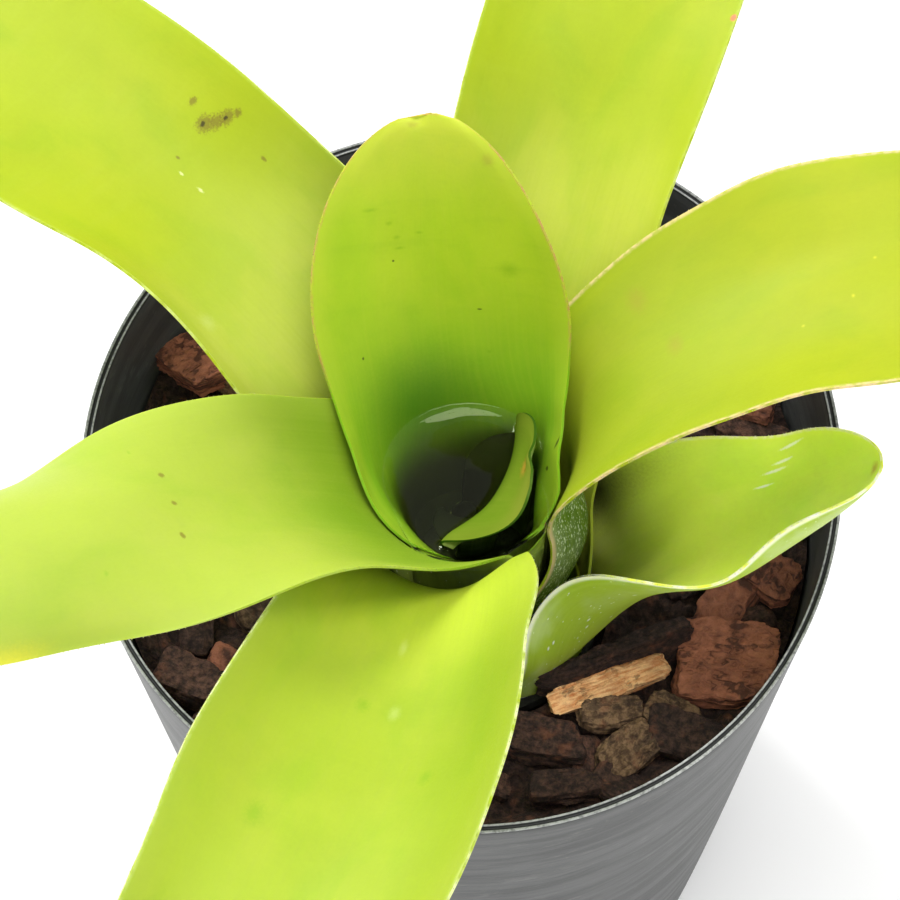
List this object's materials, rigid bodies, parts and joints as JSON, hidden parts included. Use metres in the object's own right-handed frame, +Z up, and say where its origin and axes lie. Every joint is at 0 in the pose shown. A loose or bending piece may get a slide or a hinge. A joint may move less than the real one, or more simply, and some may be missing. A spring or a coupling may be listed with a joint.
{
  "type": "potted neoregelia bromeliad",
  "caption": "Rosette of broad strap leaves that wrap into a water-holding cup, standing in bark in a tapered round nursery pot.",
  "frame": {"origin": "centre of the pot's flat underside, on the surface that it stands on", "axes": "+Z up along the pot's axis; -Y towards the front; +X to the right seen from the front"},
  "size_m": [0.2116, 0.2299, 0.1878],
  "materials": {
    "pot_plastic": "satin charcoal-black moulded plastic with fine turned streaks and light scuffs",
    "bark_dark": "rough dark brown pine bark, layered and slightly damp",
    "bark_red": "rough reddish-brown pine bark",
    "bark_tan": "freshly split tan wood",
    "stem_brown": "fibrous brown stem and wiry roots",
    "leaf_green": "smooth waxy green leaf with a soft sheen",
    "leaf_lime": "smooth waxy yellow-green leaf with a soft sheen",
    "water": "still dark olive rain water with a mirror-like surface"
  },
  "bodies": {
    "root": {"pot": "pot_plastic", "bark_bed": "bark_dark", "bark_brick": "bark_red", "bark_sliver": "bark_tan", "bark_strip": "bark_dark", "bark_flake_1": "bark_red", "bark_flake_2": "bark_dark", "bark_flake_3": "bark_red", "bark_flake_4": "bark_dark", "bark_flake_5": "bark_dark", "bark_flake_6": "bark_red", "bark_flake_7": "bark_red", "bark_flake_8": "bark_red", "stem": "stem_brown", "leaf_bud": "leaf_green", "leaf_heart": "leaf_green", "leaf_centre": "leaf_green", "leaf_left": "leaf_lime", "leaf_right": "leaf_lime", "leaf_back_left": "leaf_lime", "leaf_front": "leaf_lime", "leaf_back": "leaf_lime", "leaf_low_right": "leaf_lime", "tank_water": "water"}
  },
  "joints": []
}
